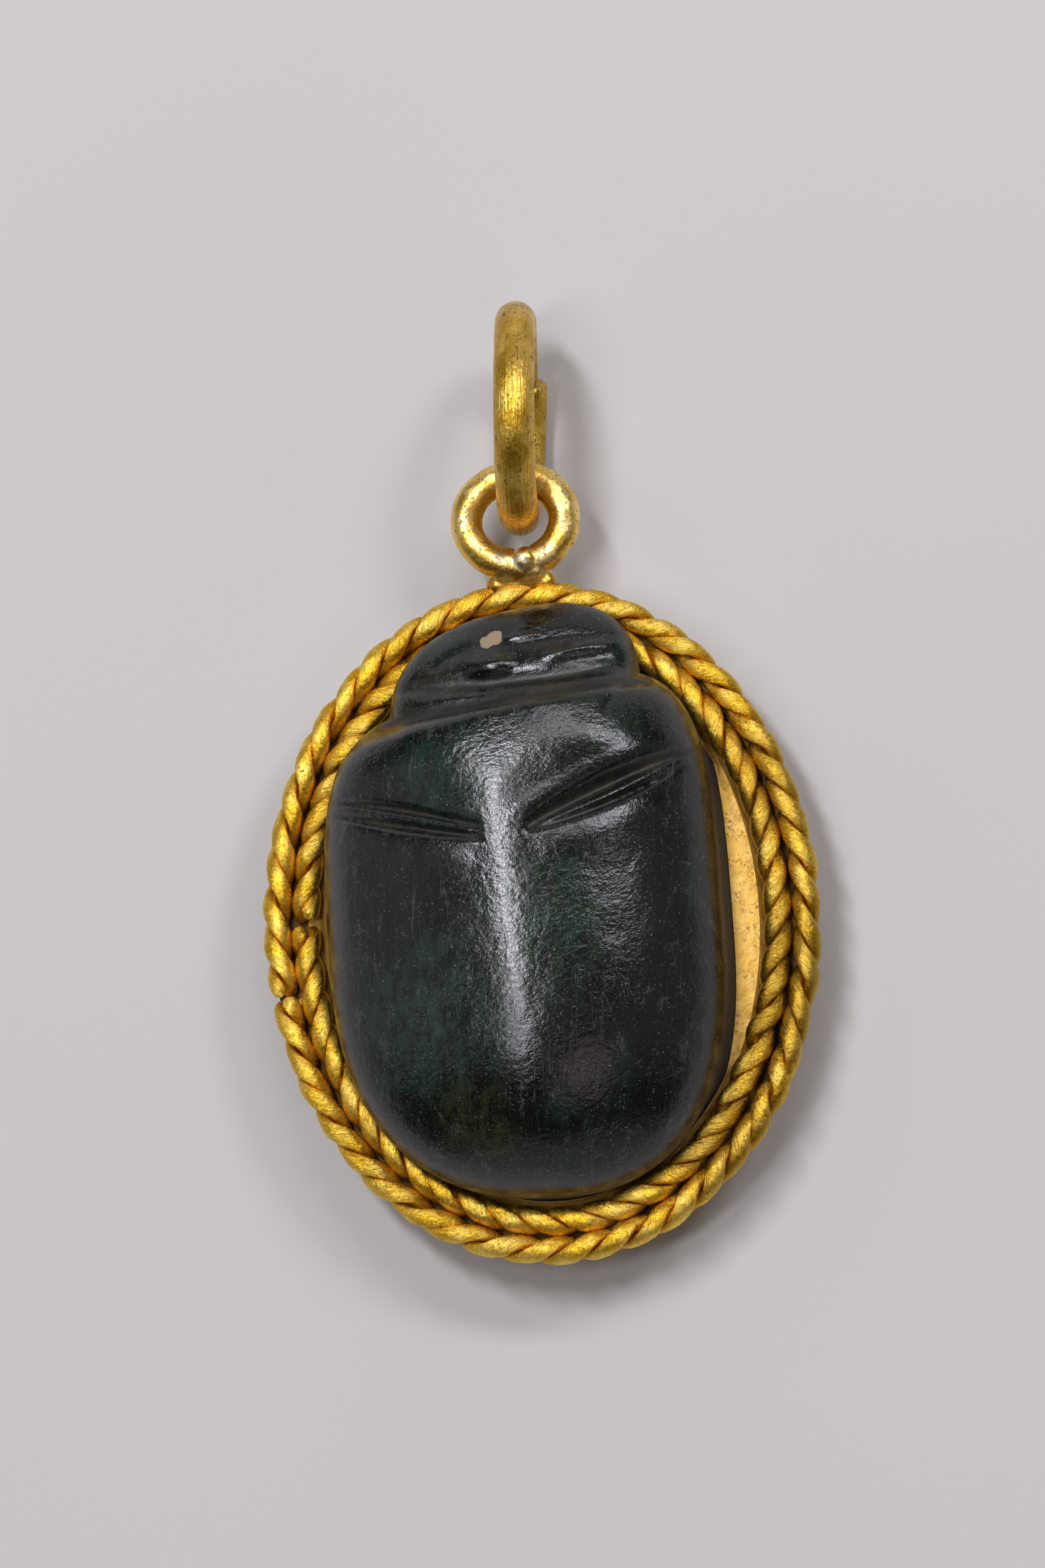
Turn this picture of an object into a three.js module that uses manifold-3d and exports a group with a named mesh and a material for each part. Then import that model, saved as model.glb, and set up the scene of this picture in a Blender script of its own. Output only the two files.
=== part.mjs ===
// A carved stone scarab in a gold pendant mount, in millimetres.
// The pendant lies on its back: +Z is up out of the beetle's back, +Y runs from its tail to the suspension loop,
// and the origin is the centre of the oval mount, on the flat seal face that it lies on.
import * as THREE from 'three';
import { ParametricGeometry } from 'three/addons/geometries/ParametricGeometry.js';
import { mergeVertices } from 'three/addons/utils/BufferGeometryUtils.js';
import Module from 'manifold-3d';

const wasm = await Module();
wasm.setup();

// ---- Driving dimensions ------------------------------------------------------------------------------------

const GAP = 0.03;                   // clearance between pieces that touch

// The beetle's body seen from above: an oval about (x, y) that is squarer in front than behind.
const BODY = {
  x: -0.36, y: -1.0, halfWidth: 5.93, front: 8.0, rear: 7.38, frontPower: 4.1, rearPower: 2.4,
  frontSkew: 0.11, rearSkew: 0.06,
};
// The head, which stands forward of the shoulders; the right side reaches further than the left.
const HEAD = { x: -0.2, y: 6.3, halfWidth: 3.8, front: 3.0, power: 2.55, skew: 0.13 };
// The foot is the same outline cut back to this oval about the origin, so the head and the lower left overhang it.
const FOOT = { halfWidth: 6.42, halfLength: 8.35 };
const STONE = {
  x: -0.35, y: 0.2,                 // the point on the back that the rings of the dome close on
  wallTop: 3.2, rim: 3.95,          // top of the upright foot, and the widest level
  backRise: 3.65, headRise: 2.2,    // height of the back and of the head over the rim
  neckStart: 5.55, neckEnd: 6.85,   // where the back falls to the head
  domePower: 3.2, domeRoundness: 2.0,
  keelX: -0.5, keelDrop: 0.95, keelRound: 0.55, keelEnd: 5.0,
  sides: 44,
};
// Rings of the dome, as fractions of the way from its centre to its rim.
const DOME_RINGS = [1, 0.985, 0.95, 0.89, 0.8, 0.68, 0.54, 0.38, 0.2, 0];
const FOOT_RINGS = [0, 1];

// Carved lines: each is cut by a round tool that runs from one point to the other, bowed sideways.
const CARVED_LINES = [
  { from: [-5.75, 3.75], to: [-1.0, 2.35], bow: 0.16, radius: 0.3, depth: 0.24 },
  { from: [-5.75, 3.3], to: [-0.95, 2.0], bow: -0.16, radius: 0.3, depth: 0.26 },
  { from: [0.35, 2.4], to: [5.15, 4.55], bow: 0.16, radius: 0.34, depth: 0.34 },
  { from: [0.35, 2.1], to: [5.15, 4.1], bow: -0.16, radius: 0.26, depth: 0.2 },
  { from: [-4.0, 6.1], to: [3.9, 6.85], bow: -0.12, radius: 0.42, depth: 0.34 },
  { from: [-3.7, 7.0], to: [2.9, 7.3], bow: 0.1, radius: 0.34, depth: 0.2 },
  { from: [-2.3, 7.95], to: [2.4, 8.25], bow: 0.18, radius: 0.3, depth: 0.16 },
];
const LINE_STEPS = 8;
const TOOL_SIDES = 6;

// The gold mount: a collar round the foot of the stone and a flange that carries the ropes.
const BEZEL = {
  collar: 0.3,                      // wall of the collar
  flangeBottom: 2.1, flangeTop: 2.53,
  halfWidth: 8.2, halfLength: 10.1,
  ridgeHalfWidth: 6.62, ridgeHalfLength: 8.53, ridgeWidth: 0.1, ridgeHeight: 0.13,
  segments: 16,
};

// Two ropes of two strands each, laid round the flange; twist is +1 or -1, the way the strands turn. The seam is
// where a rope's ends meet, as a fraction of the way round from its right-hand side.
const STRAND_RADIUS = 0.22;
const STRAND_REACH = 0.23;          // from the middle of a rope to the middle of either strand
const ROPE_LEVEL = 3.0;
const TURNS = 24;
const STEPS_PER_TURN = 6;
const STRAND_SIDES = 5;
const INNER_ROPE = { halfWidth: 7.09, halfLength: 9.0, twist: 1, seam: 0.489, opening: 0.22 };
const OUTER_ROPE = { halfWidth: 7.97, halfLength: 9.88, twist: -1, seam: 0.529, opening: 0.1 };

// The suspension loop, a ring of wire flat in the plane of the pendant, and its solder.
const LOOP = { x: 0.05, y: 12.18, z: 3.1, halfWidth: 1.47, halfLength: 1.33, wire: 0.5, opening: 4, steps: 22 };
const SOLDER = { x: 0.12, y: 10.5, z: 3.05, halfWidth: 0.95, halfLength: 0.55, halfHeight: 0.42 };

// The jump ring, upright through the loop: angles are degrees round it from its top, towards the front.
const JUMP_RING = {
  x: 0.3, y: 15.22, z: 3.56, radius: 2.92, wire: 0.61,
  lean: 4.7, turn: 3.0,             // degrees to the right at the top, and at the front
  endsAt: 289, opening: 1.5, step: 0.12, steps: 30,
};
const WIRE_SIDES = 8;

// ---- Helpers -----------------------------------------------------------------------------------------------

const { cos, sin, abs, min, max, hypot, PI } = Math;
const radians = THREE.MathUtils.degToRad;
const smoothstep = THREE.MathUtils.smoothstep;

/** The closed solid of a geometry, with shared corners merged and collapsed triangles left out. */
function toSolid(geometry) {
  const bare = new THREE.BufferGeometry();
  bare.setAttribute('position', geometry.getAttribute('position'));
  bare.setIndex(geometry.getIndex());
  const merged = mergeVertices(bare, 1e-5);
  const corners = merged.getIndex().array;
  const kept = [];
  for (let i = 0; i < corners.length; i += 3) {
    const [a, b, c] = [corners[i], corners[i + 1], corners[i + 2]];
    if (a !== b && b !== c && c !== a) kept.push(a, b, c);
  }
  return new wasm.Manifold(new wasm.Mesh({
    numProp: 3,
    vertProperties: new Float32Array(merged.getAttribute('position').array),
    triVerts: new Uint32Array(kept),
  }));
}

/** A geometry for three.js of a solid. */
function toGeometry(solid) {
  const mesh = solid.getMesh();
  const geometry = new THREE.BufferGeometry();
  geometry.setAttribute('position', new THREE.BufferAttribute(mesh.vertProperties, 3));
  geometry.setIndex(new THREE.BufferAttribute(mesh.triVerts, 1));
  geometry.computeVertexNormals();
  return geometry;
}

/** A round wire of so many sides along a curve. */
function wireAlong(curve, radius, sides, steps) {
  const section = new THREE.Shape();
  for (let i = 0; i < sides; i += 1) {
    const angle = (2 * PI * i) / sides;
    if (i === 0) section.moveTo(radius * cos(angle), radius * sin(angle));
    else section.lineTo(radius * cos(angle), radius * sin(angle));
  }
  section.closePath();
  curve.arcLengthDivisions = steps * 8;
  return new THREE.ExtrudeGeometry(section, { steps, extrudePath: curve, bevelEnabled: false });
}

function gold(color, roughness) {
  return new THREE.MeshStandardMaterial({ color, roughness, metalness: 1 });
}

function part(name, geometry, material) {
  const mesh = new THREE.Mesh(geometry, material);
  mesh.name = name;
  return mesh;
}

// ---- The stone ---------------------------------------------------------------------------------------------

/** How far out (dx, dy) is on an oval: below 1 inside, 1 on its edge. */
function ovalLevel(dx, dy, halfWidth, reach, power) {
  return (abs(dx / halfWidth) ** power + abs(dy / reach) ** power) ** (1 / power);
}

function bodyLevel(x, y) {
  const dx = x - BODY.x;
  const dy = y - BODY.y;
  if (dy > 0) {
    const skewed = dy - BODY.frontSkew * dx * min(dy / BODY.front, 1);
    return ovalLevel(dx, skewed, BODY.halfWidth, BODY.front, BODY.frontPower);
  }
  const skewed = dy + BODY.rearSkew * dx * min(-dy / BODY.rear, 1);
  return ovalLevel(dx, skewed, BODY.halfWidth, BODY.rear, BODY.rearPower);
}

function headLevel(x, y) {
  const dx = x - HEAD.x;
  const dy = y - HEAD.y - HEAD.skew * dx;
  return dy < 0 ? Infinity : ovalLevel(dx, dy, HEAD.halfWidth, HEAD.front, HEAD.power);
}

const rimLevel = (x, y) => min(bodyLevel(x, y), headLevel(x, y));
const footLevel = (x, y) => max(rimLevel(x, y), ovalLevel(x, y, FOOT.halfWidth, FOOT.halfLength, 2));

/** Distance in a direction from the stone's centre to where a level reaches 1. */
function outlineRadius(level, angle) {
  let inside = 4;
  let outside = 12;
  for (let i = 0; i < 30; i += 1) {
    const r = (inside + outside) / 2;
    if (level(STONE.x + r * cos(angle), STONE.y + r * sin(angle)) < 1) inside = r;
    else outside = r;
  }
  return inside;
}

const rimRadius = (angle) => outlineRadius(rimLevel, angle);
const footRadius = (angle) => outlineRadius(footLevel, angle);

/** Height of the smooth back at (x, y), before carving. */
function backHeight(x, y) {
  const dx = x - STONE.x;
  const dy = y - STONE.y;
  const out = min(hypot(dx, dy) / rimRadius(Math.atan2(dy, dx)), 1);
  const cap = (1 - out ** STONE.domePower) ** (1 / STONE.domeRoundness);
  const toHead = smoothstep(y - HEAD.skew * x, STONE.neckStart, STONE.neckEnd);
  const rise = THREE.MathUtils.lerp(STONE.backRise, STONE.headRise, toHead);
  const fromKeel = hypot(x - STONE.keelX, STONE.keelRound) - STONE.keelRound;
  const keelFade = 1 - smoothstep(y, STONE.keelEnd - 2, STONE.keelEnd);
  const keelDrop = STONE.keelDrop * (fromKeel / BODY.halfWidth) * keelFade;
  return STONE.rim + cap * (rise - keelDrop);
}

/** The uncarved stone: flat seal face, upright foot, flared rim under the head and the domed back. */
function blankStone() {
  const levels = [
    ...FOOT_RINGS.map((scale) => ({ scale, radius: footRadius, height: () => 0 })),
    { scale: 1, radius: footRadius, height: () => STONE.wallTop },
    ...DOME_RINGS.map((scale) => ({ scale, radius: rimRadius, height: backHeight })),
  ];
  const surface = (u, v, target) => {
    const angle = 2 * PI * u;
    const level = levels[Math.round(v * (levels.length - 1))];
    const r = level.scale * level.radius(angle % (2 * PI));
    const x = STONE.x + r * cos(angle);
    const y = STONE.y + r * sin(angle);
    target.set(x, y, level.height(x, y));
  };
  return toSolid(new ParametricGeometry(surface, STONE.sides, levels.length - 1));
}

/** The path that a round tool takes over the back to cut one carved line. */
function toolPath(line) {
  const [x0, y0] = line.from;
  const [x1, y1] = line.to;
  const length = hypot(x1 - x0, y1 - y0);
  const points = [];
  for (let i = 0; i <= LINE_STEPS; i += 1) {
    const t = i / LINE_STEPS;
    const arch = sin(PI * t);
    const x = x0 + (x1 - x0) * t - ((y1 - y0) / length) * line.bow * arch;
    const y = y0 + (y1 - y0) * t + ((x1 - x0) / length) * line.bow * arch;
    const depth = line.depth * arch ** 0.4;
    points.push(new THREE.Vector3(x, y, backHeight(x, y) + line.radius + 0.02 - depth));
  }
  return new THREE.CatmullRomCurve3(points);
}

function scarab() {
  let stone = blankStone();
  for (const line of CARVED_LINES) {
    stone = stone.subtract(toSolid(wireAlong(toolPath(line), line.radius, TOOL_SIDES, LINE_STEPS)));
  }
  const material = new THREE.MeshStandardMaterial({ color: 0x1d231f, roughness: 0.35, metalness: 0 });
  return part('scarab', toGeometry(stone), material);
}

// ---- The gold mount ----------------------------------------------------------------------------------------

/** The outline of the stone's foot, let out by an offset, as a path or a shape. */
function footPath(PathClass, offset) {
  const points = [];
  for (let i = 0; i < STONE.sides; i += 1) {
    const angle = (2 * PI * i) / STONE.sides;
    const r = footRadius(angle) + offset;
    points.push(new THREE.Vector2(STONE.x + r * cos(angle), STONE.y + r * sin(angle)));
  }
  return new PathClass(points);
}

function ovalPath(PathClass, halfWidth, halfLength) {
  const path = new PathClass();
  path.absellipse(0, 0, halfWidth, halfLength, 0, 2 * PI, false, 0);
  return path;
}

/** A flat plate of an outer shape, with any holes, from one height to another. */
function plate(outer, bottom, top, ...holes) {
  outer.holes.push(...holes);
  const depth = top - bottom;
  const geometry = new THREE.ExtrudeGeometry(outer, {
    depth, bevelEnabled: false, curveSegments: BEZEL.segments,
  });
  return toSolid(geometry.translate(0, 0, bottom));
}

function bezel() {
  const { Shape, Path } = THREE;
  const collar = plate(footPath(Shape, GAP + BEZEL.collar), 0, BEZEL.flangeTop, footPath(Path, GAP));
  const flange = plate(
    ovalPath(Shape, BEZEL.halfWidth, BEZEL.halfLength), BEZEL.flangeBottom, BEZEL.flangeTop,
    footPath(Path, GAP),
  );
  const ridge = plate(
    ovalPath(Shape, BEZEL.ridgeHalfWidth, BEZEL.ridgeHalfLength),
    BEZEL.flangeTop - GAP, BEZEL.flangeTop + BEZEL.ridgeHeight,
    ovalPath(Path, BEZEL.ridgeHalfWidth - BEZEL.ridgeWidth, BEZEL.ridgeHalfLength - BEZEL.ridgeWidth),
  );
  return part('bezel', toGeometry(collar.add(flange).add(ridge)), gold(0xd9a94e, 0.35));
}

/** The centre line of one strand of a rope, from the rope's seam once round the oval. */
class StrandCurve extends THREE.Curve {
  constructor(rope, phase) {
    super();
    this.oval = new THREE.EllipseCurve(0, 0, rope.halfWidth, rope.halfLength);
    this.seam = rope.seam;
    this.twist = rope.twist;
    this.phase = phase;
    this.openFraction = rope.opening / this.oval.getLength();
  }

  getPoint(t, target = new THREE.Vector3()) {
    const along = this.openFraction / 2 + t * (1 - this.openFraction);
    const place = (this.seam + along) % 1;
    const centre = this.oval.getPointAt(place);
    const tangent = this.oval.getTangentAt(place);
    const angle = this.phase + this.twist * 2 * PI * TURNS * along;
    const outward = STRAND_REACH * sin(angle);
    return target.set(
      centre.x + outward * tangent.y,
      centre.y - outward * tangent.x,
      ROPE_LEVEL + STRAND_REACH * cos(angle),
    );
  }
}

function rope(name, size, material) {
  return [0, 1].map((strand) => {
    const curve = new StrandCurve(size, PI * strand);
    const wire = wireAlong(curve, STRAND_RADIUS, STRAND_SIDES, TURNS * STEPS_PER_TURN);
    return part(`${name}_strand_${strand + 1}`, toGeometry(toSolid(wire)), material);
  });
}

// ---- Loop and ring -----------------------------------------------------------------------------------------

class LoopCurve extends THREE.Curve {
  getPoint(t, target = new THREE.Vector3()) {
    const angle = radians(-90 + LOOP.opening / 2 + t * (360 - LOOP.opening));
    return target.set(LOOP.x + LOOP.halfWidth * cos(angle), LOOP.y + LOOP.halfLength * sin(angle), LOOP.z);
  }
}

function suspensionLoop() {
  const ring = toSolid(wireAlong(new LoopCurve(), LOOP.wire, WIRE_SIDES, LOOP.steps));
  const blob = new THREE.SphereGeometry(1, 12, 6);
  blob.scale(SOLDER.halfWidth, SOLDER.halfLength, SOLDER.halfHeight);
  blob.translate(SOLDER.x, SOLDER.y, SOLDER.z);
  const ropeRadius = 2 * STRAND_RADIUS + GAP;
  const ropeSpace = plate(
    ovalPath(THREE.Shape, OUTER_ROPE.halfWidth + ropeRadius, OUTER_ROPE.halfLength + ropeRadius),
    0, ROPE_LEVEL + 1,
  );
  const solder = toSolid(blob).subtract(ropeSpace);
  return part('suspension_loop', toGeometry(ring.add(solder)), gold(0xd8a767, 0.35));
}

class JumpRingCurve extends THREE.Curve {
  getPoint(t, target = new THREE.Vector3()) {
    const open = JUMP_RING.opening;
    const angle = radians(JUMP_RING.endsAt + open / 2 + t * (360 - open));
    const up = JUMP_RING.radius * cos(angle);
    const forward = JUMP_RING.radius * sin(angle);
    const lean = radians(JUMP_RING.lean);
    const turn = radians(JUMP_RING.turn);
    return target.set(
      JUMP_RING.x + up * sin(lean) + forward * sin(turn) + JUMP_RING.step * (t - 0.5),
      JUMP_RING.y + up * cos(lean),
      JUMP_RING.z + forward * cos(turn),
    );
  }
}

function jumpRing() {
  const wire = wireAlong(new JumpRingCurve(), JUMP_RING.wire, WIRE_SIDES, JUMP_RING.steps);
  return part('jump_ring', toGeometry(toSolid(wire)), gold(0xa98532, 0.4));
}

// ---- The pendant -------------------------------------------------------------------------------------------

const pendant = new THREE.Group();
pendant.add(scarab());
pendant.add(bezel());
pendant.add(...rope('inner_rope', INNER_ROPE, gold(0xe3ac2f, 0.25)));
pendant.add(...rope('outer_rope', OUTER_ROPE, gold(0xe3ac2f, 0.25)));
pendant.add(suspensionLoop());
pendant.add(jumpRing());

export default pendant;
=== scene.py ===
"""A carved dark stone scarab in a gold pendant mount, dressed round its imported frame.

Everything is modelled in millimetres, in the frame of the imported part: +Z out of the beetle's back, +Y from
its tail to the suspension loop, and the origin on the seal face under the middle of the oval mount. Each
finished mesh is brought to metres at the end.
"""
import logging
import math
from dataclasses import dataclass
from enum import Enum
from typing import Any, Callable

import bmesh
import bpy
import numpy as np
from bmesh.types import BMEdge, BMesh, BMVert
from bpy.types import Material, Object
from mathutils import Matrix, Vector, noise


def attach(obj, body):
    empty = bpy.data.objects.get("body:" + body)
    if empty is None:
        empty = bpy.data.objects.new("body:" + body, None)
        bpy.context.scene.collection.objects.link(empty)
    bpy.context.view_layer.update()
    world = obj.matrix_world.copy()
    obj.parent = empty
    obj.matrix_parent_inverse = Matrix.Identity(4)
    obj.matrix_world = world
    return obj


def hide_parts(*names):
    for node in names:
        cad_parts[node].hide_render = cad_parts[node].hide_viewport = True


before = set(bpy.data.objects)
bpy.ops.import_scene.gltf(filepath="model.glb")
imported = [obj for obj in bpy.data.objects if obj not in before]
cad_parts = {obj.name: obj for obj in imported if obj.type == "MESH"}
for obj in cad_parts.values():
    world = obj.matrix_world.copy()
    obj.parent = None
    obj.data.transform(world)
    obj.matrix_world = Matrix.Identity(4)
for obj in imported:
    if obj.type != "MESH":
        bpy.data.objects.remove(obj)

LOG = logging.getLogger("scarab_pendant")
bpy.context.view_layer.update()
MM = 0.001
TURN = 2.0 * math.pi

Colour = tuple[float, float, float]
Place = tuple[float, float, float]
Point = tuple[float, float]


class Slot(Enum):
    """The record's material slots."""

    STONE = "dark_stone"
    SHEET = "sheet_gold"
    WIRE = "wire_gold"
    LOOP = "loop_gold"
    RING = "ring_gold"


# ---- Shader helpers ----


class Shade:
    """A number that varies over a surface: one output socket of a shader node, with arithmetic."""

    def __init__(self, surface: "Surface", socket: bpy.types.NodeSocket) -> None:
        """Wraps a socket of a surface's node tree."""
        self.surface = surface
        self.socket = socket

    def _math(self, operation: str, first: "Shade | float", second: "Shade | float") -> "Shade":
        """The result of one Math node."""
        return self.surface.read("ShaderNodeMath", {"operation": operation}, {0: first, 1: second})

    def __add__(self, other: "Shade | float") -> "Shade":
        """self + other."""
        return self._math("ADD", self, other)

    __radd__ = __add__

    def __mul__(self, other: "Shade | float") -> "Shade":
        """self * other."""
        return self._math("MULTIPLY", self, other)

    __rmul__ = __mul__

    def __sub__(self, other: "Shade | float") -> "Shade":
        """self - other."""
        return self._math("SUBTRACT", self, other)

    def __rsub__(self, other: "Shade | float") -> "Shade":
        """other - self."""
        return self._math("SUBTRACT", other, self)

    def __abs__(self) -> "Shade":
        """The size of self."""
        return self._math("ABSOLUTE", self, 0.0)

    def ramp(self, low: float, high: float) -> "Shade":
        """Rises smoothly from 0 at low to 1 at high."""
        settings = {"interpolation_type": "SMOOTHSTEP"}
        return self.surface.read("ShaderNodeMapRange", settings, {0: self, 1: low, 2: high})


class Surface:
    """One material's node tree, round a Principled shader."""

    def __init__(self, name: str) -> None:
        """Starts a material with a shader wired to its output.

        Args:
            name: the material's name.
        """
        self.material = bpy.data.materials.new(name)
        self.material.use_nodes = True
        self.tree = self.material.node_tree
        self.tree.nodes.clear()
        self.shader = self.node("ShaderNodeBsdfPrincipled")
        self.node("ShaderNodeOutputMaterial", {}, {"Surface": Shade(self, self.shader.outputs[0])})
        self.place = self.read("ShaderNodeTexCoord", output="Object")

    def node(
        self, kind: str, settings: dict[str, str] | None = None, inputs: dict[str | int, Any] | None = None
    ) -> bpy.types.Node:
        """Adds a node.

        Args:
            kind: the node's type.
            settings: its properties.
            inputs: values or Shades, by socket name or number.

        Returns:
            The new node.
        """
        node = self.tree.nodes.new(kind)
        for name, value in (settings or {}).items():
            setattr(node, name, value)
        for name, value in (inputs or {}).items():
            if isinstance(value, Shade):
                self.tree.links.new(value.socket, node.inputs[name])
            else:
                node.inputs[name].default_value = value
        return node

    def read(
        self,
        kind: str,
        settings: dict[str, str] | None = None,
        inputs: dict[str | int, Any] | None = None,
        output: str | int = 0,
    ) -> Shade:
        """Adds a node, as node does, and returns the output of a name or number."""
        return Shade(self, self.node(kind, settings, inputs).outputs[output])

    def millimetres(self, stretch: Place = (1.0, 1.0, 1.0), turn: float = 0.0) -> Shade:
        """Object coordinates in millimetres.

        Args:
            stretch: a factor along each axis; below 1 it draws a pattern out.
            turn: a turn about +Z in degrees, before the stretch.

        Returns:
            The coordinates.
        """
        scale = tuple(1.0 / MM * part for part in stretch)
        rotation = (0.0, 0.0, math.radians(turn))
        turned = self.read("ShaderNodeMapping", {}, {"Vector": self.place, "Rotation": rotation})
        return self.read("ShaderNodeMapping", {}, {"Vector": turned, "Scale": scale})

    def height_mm(self) -> Shade:
        """Height over the seal face, in millimetres."""
        return self.read("ShaderNodeSeparateXYZ", {}, {"Vector": self.millimetres()}, "Z")

    def noise(
        self, per_mm: float, detail: float = 3.0, where: Shade | None = None, rough: float = 0.55
    ) -> Shade:
        """Cloudy noise about 0.5.

        Args:
            per_mm: how many features lie in a millimetre.
            detail: how many finer octaves are added.
            where: the coordinates, or None for plain millimetres.
            rough: how strong the finer octaves are.

        Returns:
            The noise.
        """
        where = where or self.millimetres()
        inputs = {"Vector": where, "Scale": per_mm, "Detail": detail, "Roughness": rough}
        return self.read("ShaderNodeTexNoise", {}, inputs, "Fac")

    def cells(self, per_mm: float) -> Shade:
        """Distance to scattered points, with so many in a millimetre."""
        inputs = {"Vector": self.millimetres(), "Scale": per_mm}
        return self.read("ShaderNodeTexVoronoi", {"feature": "F1"}, inputs, "Distance")

    def spots(self, per_mm: float, core: float, edge: float) -> Shade:
        """Scattered round spots, full inside the core and gone beyond the edge, in shares of the spacing."""
        return 1.0 - self.cells(per_mm).ramp(core, edge)

    def patch(self, place: Place, radius: float, ragged: Shade, depth: float = 0.3) -> Shade:
        """1 round a place and 0 beyond a radius, with an edge that a noise makes ragged.

        Args:
            place: the middle in millimetres.
            radius: how far the patch reaches.
            ragged: the noise.
            depth: how much a difference in height counts, beside one across.

        Returns:
            The cover.
        """
        x, y, z = place
        where = self.millimetres((1.0, 1.0, depth))
        ends = {0: where, 1: (x, y, depth * z)}
        away = self.read("ShaderNodeVectorMath", {"operation": "DISTANCE"}, ends, "Value")
        return 1.0 - (away * (1.0 / radius) + (ragged - 0.5) * 1.6).ramp(0.45, 1.05)

    def layer(self, name: str) -> Shade:
        """A number stored at the mesh's vertices."""
        return self.read("ShaderNodeAttribute", {"attribute_name": name}, {}, "Fac")

    def blend(self, factor: Shade | float, first: Shade | Colour, second: Shade | Colour) -> Shade:
        """A colour between two.

        Args:
            factor: 0 for the first colour and 1 for the second.
            first: a colour.
            second: another.

        Returns:
            The mixed colour.
        """
        inputs = {
            0: factor,
            6: first if isinstance(first, Shade) else (*first, 1.0),
            7: second if isinstance(second, Shade) else (*second, 1.0),
        }
        return self.read("ShaderNodeMix", {"data_type": "RGBA"}, inputs, 2)

    def bump(self, height: Shade, depth_mm: float, under: Shade | None = None) -> Shade:
        """A normal bent by a height.

        Args:
            height: the height, from 0 to 1.
            depth_mm: how deep its full swing is.
            under: a normal that is bent already.

        Returns:
            The normal.
        """
        inputs: dict[str | int, Any] = {"Height": height, "Distance": depth_mm * MM, "Strength": 1.0}
        if under:
            inputs["Normal"] = under
        return self.read("ShaderNodeBump", {}, inputs)

    def feed(self, **sockets: Shade | float) -> Material:
        """Feeds the shader.

        Args:
            sockets: values or Shades by socket name, with _ for a space.

        Returns:
            The material.
        """
        for name, value in sockets.items():
            socket = self.shader.inputs[name.replace("_", " ")]
            if isinstance(value, Shade):
                self.tree.links.new(value.socket, socket)
            else:
                socket.default_value = value
        return self.material


# ---- Finishes ----


@dataclass(frozen=True)
class Patch:
    """A cloud of colour: its middle, its radius in millimetres, its colour and how far it covers."""

    x: float
    y: float
    radius: float
    colour: Colour
    cover: float
    z: float = 6.0

    def spread(self, s: Surface, ragged: Shade, depth: float = 0.3) -> Shade:
        """Where the patch lies on a surface, from 0 to 1, before its own cover."""
        return s.patch((self.x, self.y, self.z), self.radius, ragged, depth)


@dataclass(frozen=True)
class GoldFinish:
    """High-carat gold: rubbed pale in clouds, with a painted shade of deeper orange in its hollows, gritty,
    pitted and stained, where some of the stains are painted shadows and shade.

    Reads a vertex layer that marks the hollows, 0 on open metal to 1 far between or under wires, which lays a
    painted shade there and, furthest in, a dark colour that is partly grime and partly painted shade; and a
    wire's own layers.
    film is the share of the metal that a dull film covers.
    """

    name: str
    metal: Colour
    pale: Colour
    # grime for pits and grit, also laid furthest into the hollows, where it is partly painted shade
    painted_shade: Colour
    # painted shade: the deeper orange laid in the hollows
    soil_and_shade: Colour
    roughness: float
    grit: float
    grain: float
    film: float = 0.0
    stains: tuple[Patch, ...] = ()

    def make(self) -> Material:
        """Builds the material.

        Returns:
            The material.
        """
        s = Surface(self.name)
        hollow_shade = s.layer("hollow_shade")
        clouds = s.noise(1.6, 4.0)
        fine = s.noise(11.0, 4.0, rough=0.65)
        tone = s.blend((clouds + (fine - 0.5) * 0.9).ramp(0.4, 0.64), self.metal, self.pale)
        # Painted shade: the hollows between and under the wires turn a deeper orange.
        colour = s.blend(hollow_shade.ramp(0.15, 0.85), tone, self.painted_shade)
        # Furthest into the hollows a dark colour is laid, partly grime and partly painted shade; it also dulls
        # the metal there.
        soiled_and_shaded = (hollow_shade + (s.noise(0.7, 3.0) - 0.5) * 1.8 + (fine - 0.5) * 0.5).ramp(0.9, 1.2)
        colour = s.blend(soiled_and_shaded * 0.9, colour, self.soil_and_shade)
        drawn = s.noise(6.0, 4.0, self._wire_grain(s), 0.65)
        grit = (fine + (drawn - 0.5) * 0.5).ramp(0.5, 0.62) * s.noise(1.9, 3.0).ramp(0.4, 0.6) * self.grit
        pits = s.spots(2.6, 0.07, 0.12) * s.noise(0.9, 2.0).ramp(0.5, 0.6)
        colour = s.blend(grit * 0.6 + pits * 0.7, colour, self.soil_and_shade)
        for stain in self.stains:
            colour = s.blend(stain.spread(s, fine, 1.0) * stain.cover, colour, stain.colour)
        rough = self.roughness + (fine - 0.5) * 0.35 + (clouds - 0.5) * 0.16
        rough = rough + soiled_and_shaded * 0.3 + grit * 0.2 + pits * 0.3
        dents = s.bump(s.noise(2.6, 2.0), 0.03)
        scratches = s.bump(drawn, 0.03 * self.grain, dents)
        sanded = s.bump(fine, 0.009, scratches)
        metallic = (1.0 - self.film) - soiled_and_shaded * 0.5 - pits * 0.4
        return s.feed(Base_Color=colour, Roughness=rough, Metallic=metallic, Normal=sanded)

    @staticmethod
    def _wire_grain(s: Surface) -> Shade:
        """Coordinates that draw a pattern out along a wire."""
        parts = {0: s.layer("along") * 0.12, 1: s.layer("turn_a"), 2: s.layer("turn_b")}
        return s.read("ShaderNodeCombineXYZ", {}, parts)


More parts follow.
